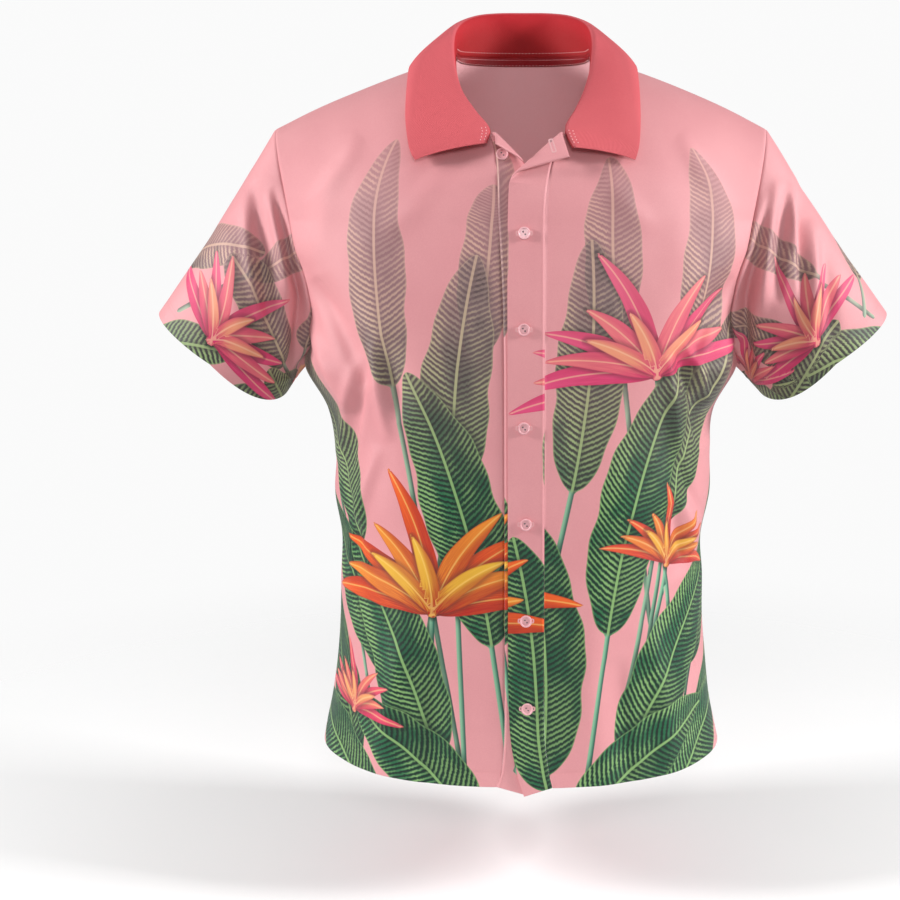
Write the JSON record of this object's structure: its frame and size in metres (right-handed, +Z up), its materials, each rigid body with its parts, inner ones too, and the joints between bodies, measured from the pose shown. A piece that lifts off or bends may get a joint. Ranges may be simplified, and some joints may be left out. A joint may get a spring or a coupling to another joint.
{
  "type": "hawaiian shirt",
  "caption": "Short-sleeved button-front shirt with a turned-down collar, worn open at the neck and hollow, with a leaf and flower print.",
  "frame": {"origin": "middle of the neck at shoulder height, over which the wearer's shoulders hold the shirt", "axes": "+X to the wearer's left, +Z up, the front faces -Y"},
  "size_m": [0.7248, 0.2466, 0.7516],
  "materials": {
    "shirt_cloth": "fine polyester knit, pink with printed leaves and flowers",
    "collar_cloth": "ribbed knit, coral outside and dark red inside",
    "band_cloth": "fine polyester knit, doubled and topstitched",
    "tape_cloth": "twill tape, dark red",
    "button": "pink resin with a raised rim"
  },
  "bodies": {
    "root": {"front_left": "shirt_cloth", "front_right": "shirt_cloth", "back": "shirt_cloth", "sleeve_left": "shirt_cloth", "sleeve_right": "shirt_cloth", "collar": "collar_cloth", "placket_left": "band_cloth", "placket_right": "band_cloth", "neck_tape": "tape_cloth", "button_1": "button", "button_2": "button", "button_3": "button", "button_4": "button", "button_5": "button", "button_6": "button", "button_7": "button"}
  },
  "joints": []
}
